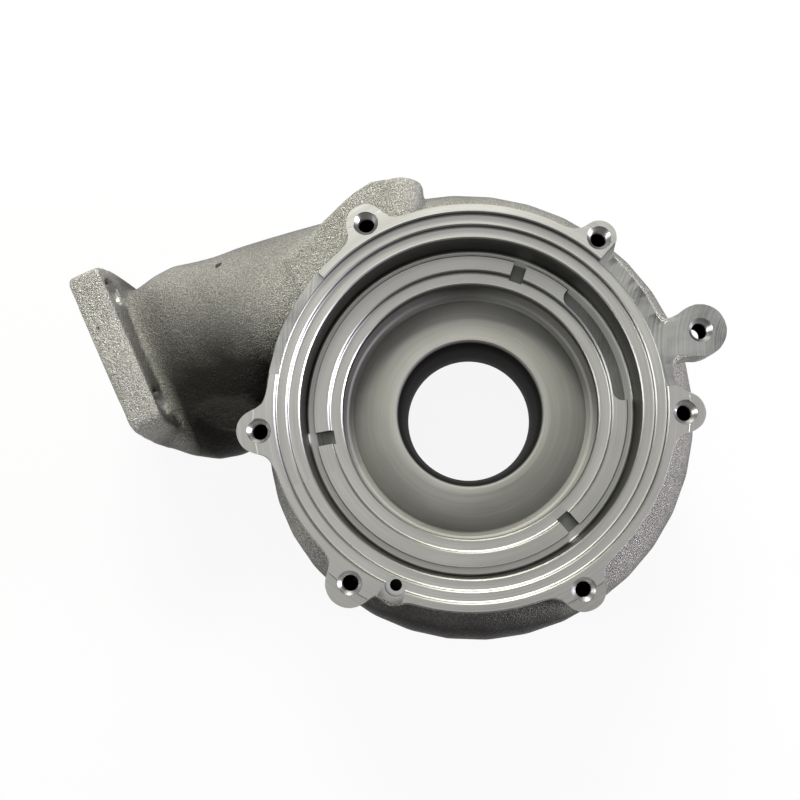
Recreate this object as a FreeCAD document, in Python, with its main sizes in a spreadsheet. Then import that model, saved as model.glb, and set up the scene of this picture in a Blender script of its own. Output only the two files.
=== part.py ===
"""Turbine housing of a variable-geometry turbocharger: one machined iron casting.

Frame: millimetres, origin on the turbine axis at the outlet face, +Z up through the
machined bearing-housing face. The gas inlet flange faces -X. Angles are in degrees,
counter-clockwise from +X, seen from above. A depth is measured down from the machined face.
"""
import FreeCAD, Part
import Sketcher
import math
import os

os.makedirs("parts", exist_ok=True)

doc = FreeCAD.newDocument("turbine_housing_model")
sheet = doc.addObject("Spreadsheet::Sheet", "dims")

# Driving dimensions: alias, value and what it is
SIZES = [
    ("total_height", 90.0, "outlet face to machined face"),
    ("rim_radius", 86.2, "cast rim"),
    ("rim_shoulder", 1.6, "slope of the cast edge at the face"),
    ("rim_thickness", 13.0, "axial thickness of the rim"),
    ("turned_lip", 4.2, "the turned face reaches this far beyond the cast rim"),
    ("tip_drop", 0.45, "boss tips lie this far below the turned face"),
    ("boss_overhang", 2.65, "the circle of the six face holes lies this far outside the rim"),
    ("tap_radius", 3.4, "tapping drill of the threaded holes, half"),
    ("tap_depth", 20.0, "full depth of the threaded holes"),
    ("sink_face", 5.2, "countersink of the six face holes, half"),
    ("sink_ear", 5.0, "countersink of the ear hole, half"),
    ("boss_depth", 22.0, "straight length of a bolt boss"),
    ("dowel_drill", 2.5, "dowel hole, half"),
    ("dowel_spot", 4.5, "spot face round the dowel hole, half"),
    ("dowel_inset", 1.1, "the dowel hole lies this far inside the first counterbore"),
    ("dowel_angle", 222.8, "where the dowel hole lies"),
    ("dowel_depth", 12.0, "depth of the dowel hole below its spot face"),
    ("ear_overhang", 15.2, "the ear hole lies this far outside the rim"),
    ("ear_angle", -6.0, "where the ear lies"),
    ("ear_radius", 11.4, "round end of the ear"),
    ("ear_arm", 19.0, "width of the arm that carries the ear"),
    ("ear_thickness", 15.0, "axial thickness of the ear"),
    ("face_width", 4.6, "width of the rim's face, outside the first counterbore"),
    ("step_one_depth", 2.6, "first land"),
    ("land_one_width", 4.5, "width of the first land"),
    ("step_two_depth", 5.0, "second land"),
    ("land_two_width", 4.8, "width of the second land, outside the deep pocket"),
    ("groove_width", 3.8, "width of the groove round the ledge"),
    ("ledge_width", 6.8, "width of the raised ledge"),
    ("ledge_depth", 15.7, "top of the ledge"),
    ("ledge_height", 5.3, "the ledge stands this high above the groove"),
    ("seat_width", 5.3, "width of the ring seat inside the ledge"),
    ("seat_drop", 3.0, "the seat lies this far below the ledge"),
    ("lip_thickness", 4.6, "metal between the seat and the scroll"),
    ("throat_width", 10.1, "height of the slot between the seat's lip and the shroud plate"),
    ("plate_rise", 5.4, "the plate stands this much higher at the bore"),
    ("mouth_flare", 4.3, "the bore's mouth is this much wider than the bore"),
    ("bore_radius", 29.6, "narrowest radius of the bore"),
    ("bore_lead", 13.1, "from the plate's outer edge down to the narrow stretch of the bore"),
    ("bore_length", 12.0, "length of the narrow stretch"),
    ("outlet_step", 6.4, "the bore at the outlet face is this much wider than the narrow stretch"),
    ("outlet_spigot", 8.0, "length of the straight bore at the outlet face"),
    ("edge_break", 0.5, "chamfer on turned edges"),
    ("corner_relief", 0.7, "slope left by the tool in turned corners"),
    ("mouth_round", 4.0, "round of the plate into the bore"),
    ("neck_wall", 6.0, "wall of the outlet neck"),
    ("clamp_lip", 5.0, "the clamp lip stands this far out from the neck"),
    ("clamp_width", 5.5, "axial width of the clamp lip"),
    ("slot_width", 6.0, "radial slots across the ledge"),
    ("slot_angle", 46.6, "first of the three radial slots"),
    ("window_start", -16.9, "arc pocket in the ledge, first end"),
    ("window_end", 23.1, "arc pocket in the ledge, last end"),
    ("window_wall", 0.7, "ridge left between the arc pocket and the ring seat"),
    ("mill_one_start", -18.9, "milled recess at the ear, first side"),
    ("mill_one_end", 24.3, "milled recess at the ear, last side"),
    ("mill_one_depth", 2.3, "depth of the recess at the ear"),
    ("mill_two_start", 114.6, "milled recess at the duct, first side"),
    ("mill_two_end", 146.6, "milled recess at the duct, last side"),
    ("mill_two_depth", 1.4, "depth of the recess at the duct"),
    ("wall", 5.5, "cast wall of the scroll and the duct"),
    ("scroll_overhang", 18.3, "the scroll reaches this far beyond the rim over most of its turn"),
    ("lip_cover", 2.1, "the scroll passage starts this far outside the throat"),
    ("pocket_floor", 5.0, "metal between the groove's floor and the top of the scroll passage"),
    ("scroll_half", 22.0, "half height of the passage where the scroll starts"),
    ("inlet_reach", 136.0, "axis to the inlet flange face"),
    ("inlet_offset", 86.4, "axis to the middle of the inlet flange, along Y"),
    ("inlet_depth", 42.0, "middle of the inlet"),
    ("flange_length", 72.0, "inlet flange along Y"),
    ("flange_height", 68.0, "inlet flange along Z"),
    ("flange_thickness", 15.0, "inlet flange along X"),
    ("flange_bulge", 5.0, "the flange's ends bow out by this"),
    ("flange_corner", 6.0, "corner radius of the flange"),
    ("inlet_pitch_long", 53.0, "flange holes along Y"),
    ("inlet_pitch_high", 49.0, "flange holes along Z"),
    ("inlet_hole", 6.0, "flange hole, half"),
    ("port_half_width", 27.0, "inlet port along Y, half"),
    ("port_half_height", 14.0, "inlet port along Z, half"),
    ("duct_flare", 24.5, "the duct widens by this towards the scroll's tail"),
    ("duct_lean", 16.0, "the widened duct leans by this"),
    ("blend_radius", 8.0, "concave blend of a boss into the rim"),
    ("shoulder_rise", 2.4, "the cast shoulder by the ear stands this far out from the rim"),
    ("pad_end_x", 15.2, "end of the round boss on the duct, along X"),
    ("pad_end_y", 108.4, "end of the round boss on the duct, along Y"),
    ("pad_angle", 65.6, "direction of the round boss"),
    ("pad_length", 33.0, "length of the round boss"),
    ("pad_radius", 9.9, "radius of the round boss"),
    ("pad_depth", 26.0, "axis of the round boss"),
]

# The six face holes: angle of each, and the radius of its cast boss
FACE_HOLES = [(95.6, 8.4), (28.4, 7.5), (-26.3, 8.6), (-83.2, 9.2), (-148.7, 10.2), (162.6, 9.4)]

FACE = "dims.total_height"
OVERRUN = 2.0

# Radii that follow from the rim inwards and outwards
TURNED = "(dims.rim_radius + dims.turned_lip)"
BOLT_CIRCLE = "(dims.rim_radius + dims.boss_overhang)"
EAR_REACH = "(dims.rim_radius + dims.ear_overhang)"
STEP_ONE = "(dims.rim_radius - dims.face_width)"
STEP_TWO = "(%s - dims.land_one_width)" % STEP_ONE
POCKET = "(%s - dims.land_two_width)" % STEP_TWO
LEDGE = "(%s - dims.groove_width)" % POCKET
LEDGE_BORE = "(%s - dims.ledge_width)" % LEDGE
THROAT = "(%s - dims.seat_width)" % LEDGE_BORE
BORE_MOUTH = "(dims.bore_radius + dims.mouth_flare)"
OUTLET = "(dims.bore_radius + dims.outlet_step)"
NECK = "(%s + dims.neck_wall)" % OUTLET

# Depths below the machined face that follow from one another
GROOVE_DEPTH = "(dims.ledge_depth + dims.ledge_height)"
SEAT_DEPTH = "(dims.ledge_depth + dims.seat_drop)"
PLATE_DEPTH = "(%s + dims.lip_thickness + dims.throat_width)" % SEAT_DEPTH
BORE_DEPTH = "(%s + dims.bore_lead)" % PLATE_DEPTH
BEYOND = 160.0

# The duct laps over the start of the scroll, and is this much larger there
SEAM_LAP = 1.5
SEAM_STEP = 0.5

# Straight spans of the two lofts, and the turn of the scroll
DUCT_SPANS = 14
SCROLL_SPANS = 30
SCROLL_TURN = 300.0

for line, (alias, value, note) in enumerate(SIZES, start=1):
    sheet.set("A%d" % line, note)
    sheet.set("B%d" % line, str(value))
    sheet.setAlias("B%d" % line, alias)
doc.recompute()


def size(alias):
    """The value of one driving dimension."""
    return float(sheet.get(alias))


def below(depth, extra=""):
    """The formula for a height below the machined face. The depth is a size or a formula."""
    if not depth.startswith("("):
        depth = "dims." + depth
    return "%s - %s%s" % (FACE, depth, extra)


def pocket_radius():
    """The radius of the deep pocket."""
    return size("rim_radius") - size("face_width") - size("land_one_width") - size("land_two_width")


def throat_radius():
    """The radius of the lip where the scroll opens into the pocket."""
    return pocket_radius() - size("groove_width") - size("ledge_width") - size("seat_width")


def polar(radius, angle):
    """Formulas for the X and the Y of a point at a radius and an angle."""
    return "(%s) * cos((%s) * 1 deg)" % (radius, angle), "(%s) * sin((%s) * 1 deg)" % (radius, angle)


def place(obj, x="0", y="0", z="0", angle="0"):
    """Tie an object's place and its turn about Z to formulas."""
    obj.setExpression(".Placement.Base.x", x)
    obj.setExpression(".Placement.Base.y", y)
    obj.setExpression(".Placement.Base.z", z)
    obj.setExpression(".Placement.Rotation.Angle", "(%s) * 1 deg" % angle)
    return obj


def cylinder(name, radius, height, x="0", y="0", z="0"):
    """A round bar standing on Z."""
    bar = doc.addObject("Part::Cylinder", name)
    bar.setExpression("Radius", radius)
    bar.setExpression("Height", height)
    return place(bar, x, y, z)


def cone(name, low, high, height, x="0", y="0", z="0"):
    """A cone standing on Z, with its lower and its upper radius."""
    bar = doc.addObject("Part::Cone", name)
    bar.setExpression("Radius1", low)
    bar.setExpression("Radius2", high)
    bar.setExpression("Height", height)
    return place(bar, x, y, z)


def sector(name, radius, height, start, end, z):
    """A slice of a cylinder between two angles."""
    slice_ = cylinder(name, radius, height, z=z)
    slice_.setExpression("Angle", "(%s - (%s)) * 1 deg" % (end, start))
    slice_.setExpression(".Placement.Rotation.Angle", "(%s) * 1 deg" % start)
    return slice_


def radial_box(name, inner, length, width, height, angle, z):
    """A box whose middle line runs out from the axis at an angle."""
    box = doc.addObject("Part::Box", name)
    box.setExpression("Length", length)
    box.setExpression("Width", width)
    box.setExpression("Height", height)
    along = polar(inner, angle)
    x = "%s + (%s) / 2 * sin((%s) * 1 deg)" % (along[0], width, angle)
    y = "%s - (%s) / 2 * cos((%s) * 1 deg)" % (along[1], width, angle)
    return place(box, x, y, z, angle)


def fuse(name, pieces):
    """One solid from several, joined one after another."""
    whole = pieces[0]
    for number, piece in enumerate(pieces[1:], start=1):
        joined = doc.addObject("Part::Fuse", "%s_%d" % (name, number))
        joined.Base = whole
        joined.Tool = piece
        joined.Refine = False
        whole = joined
    return whole


def cut(name, base, tools):
    """The base less each of the tools, one after another."""
    whole = base
    for number, tool in enumerate(tools, start=1):
        less = doc.addObject("Part::Cut", "%s_%d" % (name, number))
        less.Base = whole
        less.Tool = tool
        less.Refine = False
        whole = less
    return whole


def feature(name, shape):
    """A shape worked out from the sheet by the functions below."""
    result = doc.addObject("Part::Feature", name)
    result.Shape = shape
    return result


def turned(name, corners, rounds=()):
    """A turned body. Each corner of its half section is a radius and a height formula.

    A round is the number of a corner and the formula of its fillet.
    """
    body = doc.addObject("PartDesign::Body", name)
    upright = next(f for f in body.Origin.OriginFeatures if f.Role == "XZ_Plane")
    sketch = body.newObject("Sketcher::SketchObject", name + "_section")
    sketch.AttachmentSupport = [(upright, "")]
    sketch.MapMode = "FlatFace"
    count = len(corners)
    rough = [FreeCAD.Vector(20 * math.cos(i), 20 * math.sin(i), 0) for i in range(count)]
    for i in range(count):
        sketch.addGeometry(Part.LineSegment(rough[i], rough[(i + 1) % count]), False)
    for i in range(count):
        sketch.addConstraint(Sketcher.Constraint("Coincident", i, 2, (i + 1) % count, 1))
    for i, (radius, height) in enumerate(corners):
        if radius == "0":
            sketch.addConstraint(Sketcher.Constraint("PointOnObject", i, 1, -2))
        else:
            number = sketch.addConstraint(Sketcher.Constraint("DistanceX", -1, 1, i, 1, 20.0 + i))
            sketch.setExpression("Constraints[%d]" % number, radius)
        number = sketch.addConstraint(Sketcher.Constraint("DistanceY", -1, 1, i, 1, 20.0 + i))
        sketch.setExpression("Constraints[%d]" % number, height)
    doc.recompute()
    turn = body.newObject("PartDesign::Revolution", name + "_turn")
    turn.Profile = sketch
    turn.ReferenceAxis = (sketch, ["V_Axis"])
    turn.Angle = 360.0
    last = turn
    doc.recompute()
    for number, formula in rounds:
        corner = sketch.getPoint(number, 1)
        edge = ring_edge(body.Shape, corner.x, corner.y)
        fillet = body.newObject("PartDesign::Fillet", "%s_round_%d" % (name, number))
        fillet.Base = (last, [edge])
        fillet.setExpression("Radius", formula)
        last = fillet
        doc.recompute()
    return body


def ring_edge(shape, radius, height):
    """The name of the round edge of a turned shape at a radius and a height."""
    for number, edge in enumerate(shape.Edges, start=1):
        curve = edge.Curve
        if not hasattr(curve, "Radius"):
            continue
        if abs(curve.Radius - radius) < 1e-3 and abs(curve.Center.z - height) < 1e-3:
            return "Edge%d" % number
    raise ValueError("no round edge at radius %g and height %g" % (radius, height))


def blend(low, high, share):
    """A value between two others."""
    return low + (high - low) * share


def signed_power(value, exponent):
    """A power that keeps the sign, for superellipses."""
    return math.copysign(abs(value) ** exponent, value)


def ring_curve(centre, heading, half_width, half_height, power, lean=0.0):
    """A closed superellipse square to the flow; the heading is its angle from +X."""
    points_round = 12
    across = FreeCAD.Vector(-math.sin(math.radians(heading)), math.cos(math.radians(heading)), 0)
    points = []
    for i in range(points_round):
        turn = 2 * math.pi * i / points_round
        u = half_width * signed_power(math.cos(turn), 2.0 / power)
        v = half_height * signed_power(math.sin(turn), 2.0 / power)
        tilt = math.radians(lean)
        wide = u * math.cos(tilt) - v * math.sin(tilt)
        high = u * math.sin(tilt) + v * math.cos(tilt)
        points.append(centre + across * wide + FreeCAD.Vector(0, 0, high))
    curve = Part.BSplineCurve()
    curve.interpolate(Points=points, PeriodicFlag=True)
    return Part.Wire([curve.toShape()])


def scroll_outside(turn):
    """Outer radius of the scroll, after so many degrees of its turn."""
    entry_swell = 4.5 * math.exp(-turn / 25.0)
    tail = 13.0 * (turn / 290.0) ** 6
    return size("rim_radius") + size("scroll_overhang") + entry_swell - tail


def scroll_passage(turn):
    """Middle radius, middle depth, half width and half height of the passage."""
    outer = scroll_outside(turn) - size("wall")
    inner = throat_radius() + size("lip_cover")
    half_height = size("scroll_half") * (1.0 - 0.62 * turn / 290.0)
    roof = size("ledge_depth") + size("ledge_height") + size("pocket_floor")
    return (outer + inner) / 2, roof + half_height, (outer - inner) / 2, half_height


def duct_swell(share, skin):
    """How far the duct is widened towards the scroll's tail, from 0 to 1.

    The skin is already widened at the flange face, where the port is not.
    """
    peak = 0.25
    if share > peak:
        return math.exp(-((share - peak) / 0.15) ** 2)
    head_start = 0.05 if skin else 0.0
    return math.sin(math.radians(90.0) * min(1.0, (share + head_start) / peak))


def duct(skin):
    """The duct from the inlet flange to the start of the scroll: its passage, or its skin of metal.

    It is a loft of short straight spans, which keep the facets few.
    """
    extra = size("wall") if skin else 0.0
    spans = DUCT_SPANS if skin else DUCT_SPANS // 2
    face = size("total_height")
    middle, depth, half_width, half_height = scroll_passage(0.0)
    reach = size("inlet_reach")
    first = -reach + 1.0 if skin else -reach - OVERRUN
    wires = []
    for station in range(spans + 1):
        share = station / spans
        x = blend(first, SEAM_LAP, share)
        swell = duct_swell(share, skin) * (station < spans)
        flare = size("duct_flare") / 2 * swell
        eased = share * share * (3 - 2 * share)
        late = max(0.0, (share - 0.5) / 0.5) ** 1.2
        lean = size("duct_lean") * swell * min(1.0, max(0.0, (share - 0.08) / 0.17))
        y = blend(size("inlet_offset"), middle, late) - flare
        z = face - blend(size("inlet_depth"), depth, eased)
        wide = blend(size("port_half_width"), half_width + SEAM_STEP, late) + flare + extra
        high = blend(size("port_half_height"), half_height + SEAM_STEP, eased) + extra
        power = blend(2.3 if skin else 3.0, 2.0, min(1.0, share / 0.3))
        wide /= math.cos(math.radians(lean))
        wires.append(ring_curve(FreeCAD.Vector(x, y, z), 0.0, wide, high, power, lean))
    return Part.makeLoft(wires, True, True)


def scroll(skin):
    """The scroll round the axis, from the duct to its tail: its passage, or its skin of metal."""
    extra = size("wall") if skin else 0.0
    face = size("total_height")
    spans = SCROLL_SPANS if skin else SCROLL_SPANS * 2 // 3
    wires = []
    for station in range(spans + 1):
        turn = SCROLL_TURN * station / spans
        middle, depth, half_width, half_height = scroll_passage(turn)
        angle = math.radians(90.0 - turn)
        centre = FreeCAD.Vector(middle * math.cos(angle), middle * math.sin(angle), face - depth)
        wires.append(ring_curve(centre, -turn, half_width + extra, half_height + extra, 2.0))
    return Part.makeLoft(wires, True, True)


def inlet_flange():
    """The rectangular inlet flange, with its ends bowed out and its corners rounded."""
    x = -size("inlet_reach")
    y = size("inlet_offset")
    z = size("total_height") - size("inlet_depth")
    wide = size("flange_length") / 2
    high = size("flange_height") / 2
    bow = size("flange_bulge")
    low_right = FreeCAD.Vector(x, y - wide, z - high)
    low_left = FreeCAD.Vector(x, y + wide, z - high)
    top_left = FreeCAD.Vector(x, y + wide, z + high)
    top_right = FreeCAD.Vector(x, y - wide, z + high)
    outline = Part.Wire([
        Part.LineSegment(low_right, low_left).toShape(),
        Part.Arc(low_left, FreeCAD.Vector(x, y + wide + bow, z), top_left).toShape(),
        Part.LineSegment(top_left, top_right).toShape(),
        Part.Arc(top_right, FreeCAD.Vector(x, y - wide - bow, z), low_right).toShape(),
    ])
    block = Part.Face(outline).extrude(FreeCAD.Vector(size("flange_thickness"), 0, 0))
    corners = [edge for edge in block.Edges if len(edge.Vertexes) == 2
               and abs(edge.Vertexes[0].X - edge.Vertexes[1].X) > size("flange_thickness") / 2]
    return block.makeFillet(size("flange_corner"), corners)


def flange_holes():
    """The four holes through the inlet flange."""
    x = -size("inlet_reach") - OVERRUN
    z = size("total_height") - size("inlet_depth")
    holes = []
    for side in (-1, 1):
        for level in (-1, 1):
            y = size("inlet_offset") + side * size("inlet_pitch_long") / 2
            start = FreeCAD.Vector(x, y, z + level * size("inlet_pitch_high") / 2)
            depth = size("flange_thickness") + 2 * OVERRUN
            holes.append(Part.makeCylinder(size("inlet_hole"), depth, start, FreeCAD.Vector(1, 0, 0)))
    return Part.makeCompound(holes)


def pad():
    """The round boss on the duct, lying flat, with its end edge broken."""
    angle = math.radians(size("pad_angle"))
    along = FreeCAD.Vector(math.cos(angle), math.sin(angle), 0)
    end = FreeCAD.Vector(size("pad_end_x"), size("pad_end_y"), size("total_height") - size("pad_depth"))
    bar = Part.makeCylinder(size("pad_radius"), size("pad_length"), end - along * size("pad_length"), along)
    rim = [edge for edge in bar.Edges if (edge.CenterOfMass - end).Length < 0.1]
    return bar.makeChamfer(size("pad_radius") / 6, rim)


def web(corners, low, high):
    """An upright plate with a plan outline, between two heights."""
    points = [FreeCAD.Vector(x, y, low) for x, y in corners]
    outline = Part.makePolygon(points + points[:1])
    return Part.Face(outline).extrude(FreeCAD.Vector(0, 0, high - low))


def pad_web():
    """The sloping web that carries the round boss from the duct."""
    x, y = size("pad_end_x"), size("pad_end_y")
    axis = size("total_height") - size("pad_depth")
    crest = [(x - 4, y - 4), (x - 8, y + 3.6), (x - 13, y + 4.2), (x - 17, y + 4), (x - 25, y + 2.2)]
    slope = [(x - 31, y), (x - 37, y - 2.2), (x - 43, y - 4.6), (x - 62, y - 12)]
    return web(crest + slope + [(x - 62, y - 30), (x - 4, y - 30)], axis - 8, axis + 7)


def lug_web():
    """The web from the boss beside the duct down to the duct's lower wall."""
    face = size("total_height")
    plan = [(-80, 36), (-90, 47), (-102, 52), (-111, 52), (-113, 47), (-105, 40), (-95, 34), (-88, 21)]
    return web(plan, face - 62, face - 26)


def blend_web(angle, radius):
    """The metal between a boss and the rim, bounded by an arc that is tangent to both on each side."""
    rim = size("rim_radius")
    circle = rim + size("boss_overhang")
    bend = size("blend_radius")
    away = rim + bend
    near = radius + bend
    turn = math.acos((away * away + circle * circle - near * near) / (2 * away * circle))
    boss = FreeCAD.Vector(circle, 0, 0)
    sides = []
    for side in (1, -1):
        centre = FreeCAD.Vector(away * math.cos(turn), side * away * math.sin(turn), 0)
        on_rim = centre * (rim / away)
        on_boss = boss + (centre - boss) * (radius / near)
        middle = centre + ((on_rim + on_boss) * 0.5 - centre).normalize() * bend
        sides.append((on_rim, middle, on_boss))
    (rim_a, mid_a, boss_a), (rim_b, mid_b, boss_b) = sides
    inner = FreeCAD.Vector(pocket_radius() + 2, 0, 0)
    outline = Part.Wire([
        Part.LineSegment(inner, rim_a).toShape(),
        Part.Arc(rim_a, mid_a, boss_a).toShape(),
        Part.LineSegment(boss_a, boss).toShape(),
        Part.LineSegment(boss, boss_b).toShape(),
        Part.Arc(boss_b, mid_b, rim_b).toShape(),
        Part.LineSegment(rim_b, inner).toShape(),
    ])
    plate = Part.Face(outline).extrude(FreeCAD.Vector(0, 0, size("rim_thickness")))
    plate.rotate(FreeCAD.Vector(0, 0, 0), FreeCAD.Vector(0, 0, 1), angle)
    plate.translate(FreeCAD.Vector(0, 0, size("total_height") - size("rim_thickness")))
    return plate


def casting():
    """The casting before it is machined."""
    core = turned("core", [
        ("0", FACE),
        ("dims.rim_radius - dims.rim_shoulder", FACE),
        ("dims.rim_radius", below("rim_shoulder")),
        ("dims.rim_radius", below("rim_thickness")),
        ("dims.rim_radius - 6", below("rim_thickness", " - 7")),
        ("dims.rim_radius - 8", below(GROOVE_DEPTH, " - 14")),
        (THROAT + " + dims.lip_cover", below(PLATE_DEPTH, " - 24")),
        (NECK + " + 4", "dims.clamp_width + 16"),
        (NECK, "dims.clamp_width + 10"),
        (NECK, "dims.clamp_width + 3"),
        (NECK + " + dims.clamp_lip", "dims.clamp_width"),
        (NECK + " + dims.clamp_lip", "0.5"),
        (NECK + " + dims.clamp_lip - 0.5", "0 mm"),
        ("0", "0 mm"),
    ])
    pieces = [core, feature("duct_skin", duct(True)), feature("scroll_skin", scroll(True)),
              feature("flange", inlet_flange())]
    for number, (angle, radius) in enumerate(FACE_HOLES, start=1):
        x, y = polar(BOLT_CIRCLE, str(angle))
        pieces.append(cylinder("boss_%d" % number, str(radius), "dims.boss_depth", x, y, below("boss_depth")))
        pieces.append(cone("boss_root_%d" % number, str(radius / 3), str(radius), "dims.boss_depth",
                           x, y, below("boss_depth", " - dims.boss_depth")))
        pieces.append(feature("boss_blend_%d" % number, blend_web(angle, radius)))
    x, y = polar(STEP_ONE + " - dims.dowel_inset + 2", "dims.dowel_angle")
    pieces.append(cylinder("dowel_boss", "dims.dowel_spot + 2.6", "dims.rim_thickness", x, y,
                           below("rim_thickness")))
    x, y = polar(EAR_REACH, "dims.ear_angle")
    under = below("mill_one_depth", " - dims.ear_thickness")
    blank = "dims.ear_thickness + dims.mill_one_depth"
    pieces.append(cylinder("ear", "dims.ear_radius", blank, x, y, under))
    arm = "%s - %s - 4" % (EAR_REACH, POCKET)
    pieces.append(radial_box("ear_arm_block", POCKET + " + 4", arm, "dims.ear_arm", blank,
                             "dims.ear_angle", under))
    pieces.append(radial_box("ear_rib", POCKET + " + 4", arm + " - 4", "dims.ear_arm / 2", "12",
                             "dims.ear_angle", under + " - 12"))
    pieces.append(sector("ear_shoulder", "dims.rim_radius + dims.shoulder_rise",
                         "dims.rim_thickness - dims.rim_shoulder", "dims.ear_angle",
                         str(FACE_HOLES[1][0]), below("rim_thickness")))
    pieces.append(feature("round_boss", pad()))
    pieces.append(feature("round_boss_web", pad_web()))
    pieces.append(feature("lug", lug_web()))
    return fuse("raw_casting", pieces)


def step(radius, top, floor):
    """Corners of one turned step: its broken edge, its wall and the slope that the tool leaves."""
    corners = [(radius + " + dims.edge_break", top), (radius, top + " - dims.edge_break")]
    corners.append((radius, floor + " + dims.corner_relief"))
    corners.append((radius + " - dims.corner_relief", floor))
    return corners


def pocket_cutter():
    """Everything that is turned on the axis: steps, pocket, groove, ledge, plate and bore."""
    above = FACE + " + %g" % OVERRUN
    land_one = below("step_one_depth")
    land_two = below("step_two_depth")
    groove = below(GROOVE_DEPTH)
    ledge = below("ledge_depth")
    seat = below(SEAT_DEPTH)
    plate = below(PLATE_DEPTH)
    plate_top = below(PLATE_DEPTH, " + dims.plate_rise")
    narrow = below(BORE_DEPTH)
    corners = [("0", above), (STEP_ONE + " + dims.edge_break", above)]
    corners += step(STEP_ONE, FACE, land_one)
    corners += step(STEP_TWO, land_one, land_two)
    corners += step(POCKET, land_two, groove)
    corners += [
        (LEDGE, groove),
        (LEDGE, ledge + " - dims.edge_break"),
        (LEDGE + " - dims.edge_break", ledge),
    ]
    corners += step(LEDGE_BORE, ledge, seat)
    corners += [
        (THROAT + " + dims.edge_break", seat),
        (THROAT, seat + " - dims.edge_break"),
        (THROAT, plate),
        (THROAT + " - 1", plate + " - 1"),
        (THROAT + " - 3", plate + " - 1"),
        (THROAT + " - 4", plate),
        (BORE_MOUTH + " + 2.8", plate_top),
    ]
    mouth = len(corners)
    corners += [
        (BORE_MOUTH + " - 0.4", plate_top),
        ("dims.bore_radius + 1.2", plate_top + " - 4.5"),
        ("dims.bore_radius", narrow),
        ("dims.bore_radius", narrow + " - dims.bore_length"),
        (OUTLET + " - 1", "dims.outlet_spigot + 1"),
        (OUTLET, "dims.outlet_spigot"),
        (OUTLET, "dims.edge_break"),
        (OUTLET + " + dims.edge_break + %g" % OVERRUN, "-%g" % OVERRUN),
        ("0", "-%g" % OVERRUN),
    ]
    return turned("turning", corners, rounds=[(mouth, "dims.mouth_round")])


def throat_cutter():
    """The ring slot through which the gas leaves the scroll for the wheel."""
    return turned("throat", [
        (THROAT + " - 1", below(SEAT_DEPTH, " - dims.lip_thickness")),
        (THROAT + " + 4", below(SEAT_DEPTH, " - dims.lip_thickness")),
        (LEDGE + " + 3", below(GROOVE_DEPTH, " - dims.pocket_floor - 1.5")),
        (LEDGE + " + 3", below(PLATE_DEPTH)),
        (THROAT + " - 1", below(PLATE_DEPTH)),
    ])


def ring_sector(name, inner, outer, start, end, z, height):
    """A slice of a ring between two angles."""
    whole = sector(name + "_outer", outer, height, start, end, z)
    hollow = cylinder(name + "_inner", inner, "(%s) + 2" % height, z="(%s) - 1" % z)
    return cut(name, whole, [hollow])


def milled_cutters():
    """The two milled recesses, the dropped boss tips, the arc pocket and the radial slots."""
    pieces = []
    beyond = "%g" % BEYOND
    pieces.append(ring_sector("recess_at_ear", STEP_ONE + " - 1.5", beyond, "dims.mill_one_start",
                              "dims.mill_one_end", below("mill_one_depth"), "dims.mill_one_depth + 2"))
    pieces.append(ring_sector("recess_at_duct", STEP_ONE + " - 0.5", TURNED + " + 4",
                              "dims.mill_two_start", "dims.mill_two_end", below("mill_two_depth"),
                              "dims.mill_two_depth + 2"))
    tips = cylinder("tips_outer", beyond, "dims.tip_drop + 2", z=below("tip_drop"))
    inside = cylinder("tips_inner", TURNED, "dims.tip_drop + 4", z=below("tip_drop", " - 1"))
    pieces.append(cut("dropped_tips", tips, [inside]))
    floor = below(GROOVE_DEPTH, " + 0.3")
    height = "dims.ledge_height + 2"
    inner = LEDGE_BORE + " + dims.window_wall"
    outer = POCKET + " - 1"
    pieces.append(ring_sector("window", inner, outer, "dims.window_start", "dims.window_end", floor, height))
    middle = "(%s + %s) / 2" % (inner, outer)
    half = "(%s - (%s)) / 2" % (outer, inner)
    for number, angle in enumerate(("dims.window_start", "dims.window_end"), start=1):
        x, y = polar(middle, angle)
        pieces.append(cylinder("window_end_%d" % number, half, height, x, y, floor))
    for number in range(3):
        angle = "dims.slot_angle + %d" % (120 * number)
        pieces.append(radial_box("slot_%d" % (number + 1), LEDGE_BORE + " - 1.2",
                                 "%s - %s - 0.3" % (POCKET, LEDGE_BORE), "dims.slot_width",
                                 height, angle, floor))
    return pieces


def drilled_cutters():
    """Threaded holes with their countersinks, the dowel hole and the flange holes."""
    pieces = []
    spots = [(BOLT_CIRCLE, str(angle), "dims.sink_face", FACE) for angle, _ in FACE_HOLES]
    spots.append((EAR_REACH, "dims.ear_angle", "dims.sink_ear", below("mill_one_depth")))
    for number, (radius, angle, sink, top) in enumerate(spots, start=1):
        x, y = polar(radius, angle)
        pieces.append(cylinder("tap_%d" % number, "dims.tap_radius", "dims.tap_depth + 2", x, y,
                               top + " - dims.tap_depth"))
        pieces.append(cone("tap_point_%d" % number, "0", "dims.tap_radius", "dims.tap_radius * 0.6", x, y,
                           top + " - dims.tap_depth - dims.tap_radius * 0.6"))
        wide = sink + " + 2"
        pieces.append(cone("sink_%d" % number, "dims.tap_radius", wide, wide + " - dims.tap_radius",
                           x, y, top + " - %s + dims.tap_radius" % sink))
    x, y = polar(STEP_ONE + " - dims.dowel_inset", "dims.dowel_angle")
    pieces.append(cylinder("dowel_spot_face", "dims.dowel_spot", "dims.step_one_depth + 2", x, y,
                           below("step_one_depth")))
    pieces.append(cylinder("dowel_hole", "dims.dowel_drill", "dims.dowel_depth + 2", x, y,
                           below("step_one_depth", " - dims.dowel_depth")))
    pieces.append(feature("inlet_holes", flange_holes()))
    return pieces


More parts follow.
